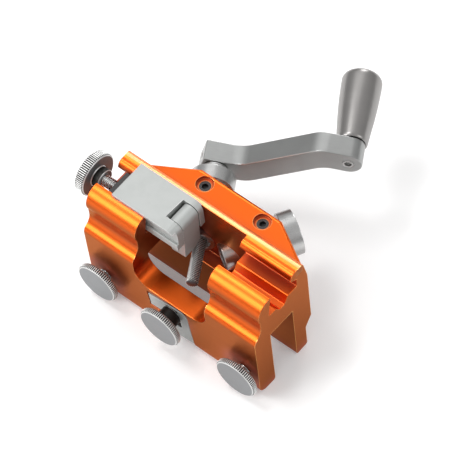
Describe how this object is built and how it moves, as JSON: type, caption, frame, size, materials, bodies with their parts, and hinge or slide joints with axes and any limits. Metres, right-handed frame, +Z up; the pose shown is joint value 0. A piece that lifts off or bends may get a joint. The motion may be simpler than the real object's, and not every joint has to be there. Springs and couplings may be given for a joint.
{
  "type": "chainsaw sharpening jig",
  "caption": "Clamp-on saw chain sharpening jig: extruded body over a guide bar, crossing guide bushings, hand crank with a burr cutter, and a screw-set pawl carriage.",
  "frame": {"origin": "middle of the bar slot's roof, on the slot's centre plane and half way along the body", "axes": "+X along the guide bar, towards the free end of the top channel; +Y to the crank side; +Z up, out of the slot"},
  "size_m": [0.1009, 0.1338, 0.061],
  "materials": {
    "orange_anodised": "satin anodised",
    "satin_aluminium": "satin",
    "steel": "turned",
    "knurled_steel": "turned, straight knurl",
    "black_steel": "black oxide",
    "carbide": "ground flutes"
  },
  "bodies": {
    "jig_body": {"body": "orange_anodised", "left_bushing": "steel", "right_bushing": "steel", "bushing_set_screws": "black_steel", "thread_plate": "black_steel"},
    "crank_washer": {"thrust_washer": "steel"},
    "crank": {"cutter_shaft": "steel", "carbide_cutter": "carbide", "crank_arm": "satin_aluminium", "arm_set_screw": "black_steel", "grip_pin": "steel"},
    "crank_grip": {"grip": "satin_aluminium"},
    "carriage": {"pawl_carriage": "satin_aluminium", "pawl_pin": "steel"},
    "pawl": {"pawl": "satin_aluminium"},
    "adjuster": {"adjuster_stud": "steel", "adjuster_clip": "black_steel", "adjuster_knob": "knurled_steel"},
    "left_clamp_stud": {"left_clamp_stud": "steel"},
    "left_clamp_wheel": {"left_clamp_knob": "knurled_steel"},
    "right_clamp_stud": {"right_clamp_stud": "steel"},
    "right_clamp_wheel": {"right_clamp_knob": "knurled_steel"},
    "plate_screw_stud": {"plate_stud": "steel"},
    "plate_screw_wheel": {"plate_knob": "knurled_steel"},
    "plate": {"side_plate": "satin_aluminium"}
  },
  "joints": [
    {"name": "crank_feed", "type": "slide", "parent": "jig_body", "child": "crank_washer", "axis": [-0.5, 0.866, 0], "range_m": [-0.0022, 0.024]},
    {"name": "crank_turn", "type": "hinge", "parent": "crank_washer", "child": "crank", "pos_m": [0, 0, -0.0017], "axis": [-0.5, 0.866, 0], "continuous": true},
    {"name": "grip_spin", "type": "hinge", "parent": "crank", "child": "crank_grip", "pos_m": [0.01269, 0.08815, 0.01113], "axis": [-0.5, 0.866, 0], "continuous": true},
    {"name": "carriage_travel", "type": "slide", "parent": "jig_body", "child": "carriage", "axis": [1, 0, 0], "range_m": [-0.001, 0.0048]},
    {"name": "adjuster_turn", "type": "hinge", "parent": "carriage", "child": "adjuster", "pos_m": [-0.05, 0.0017, 0.0169], "axis": [1, 0, 0], "range_deg": [-455, 2165]},
    {"name": "pawl_lift", "type": "hinge", "parent": "carriage", "child": "pawl", "pos_m": [-0.0066, 0.0041, 0.0229], "axis": [0, -1, 0], "range_deg": [0, 50]},
    {"name": "left_clamp_travel", "type": "slide", "parent": "jig_body", "child": "left_clamp_stud", "axis": [0, 1, 0], "range_m": [-0.004, 0.001]},
    {"name": "left_clamp_turn", "type": "hinge", "parent": "left_clamp_stud", "child": "left_clamp_wheel", "pos_m": [-0.0365, -0.02, -0.0223], "axis": [0, 1, 0], "range_deg": [-1445, 365]},
    {"name": "right_clamp_travel", "type": "slide", "parent": "jig_body", "child": "right_clamp_stud", "axis": [0, 1, 0], "range_m": [-0.004, 0.001]},
    {"name": "right_clamp_turn", "type": "hinge", "parent": "right_clamp_stud", "child": "right_clamp_wheel", "pos_m": [0.0365, -0.02, -0.0223], "axis": [0, 1, 0], "range_deg": [-1445, 365]},
    {"name": "plate_screw_travel", "type": "slide", "parent": "jig_body", "child": "plate_screw_stud", "axis": [0, 1, 0], "range_m": [-0.003, 0]},
    {"name": "plate_screw_turn", "type": "hinge", "parent": "plate_screw_stud", "child": "plate_screw_wheel", "pos_m": [0, -0.02, -0.0164], "axis": [0, 1, 0], "range_deg": [-1355, 0]},
    {"name": "plate_slide", "type": "slide", "parent": "jig_body", "child": "plate", "axis": [-0.1045, 0, 0.9945], "range_m": [0, 0.0012]}
  ],
  "couplings": [
    {"joint": "adjuster_turn", "follows": "carriage_travel", "rad_per_m": 7854},
    {"joint": "left_clamp_turn", "follows": "left_clamp_travel", "rad_per_m": 6283.2},
    {"joint": "right_clamp_turn", "follows": "right_clamp_travel", "rad_per_m": 6283.2},
    {"joint": "plate_screw_turn", "follows": "plate_screw_travel", "rad_per_m": 7854}
  ]
}
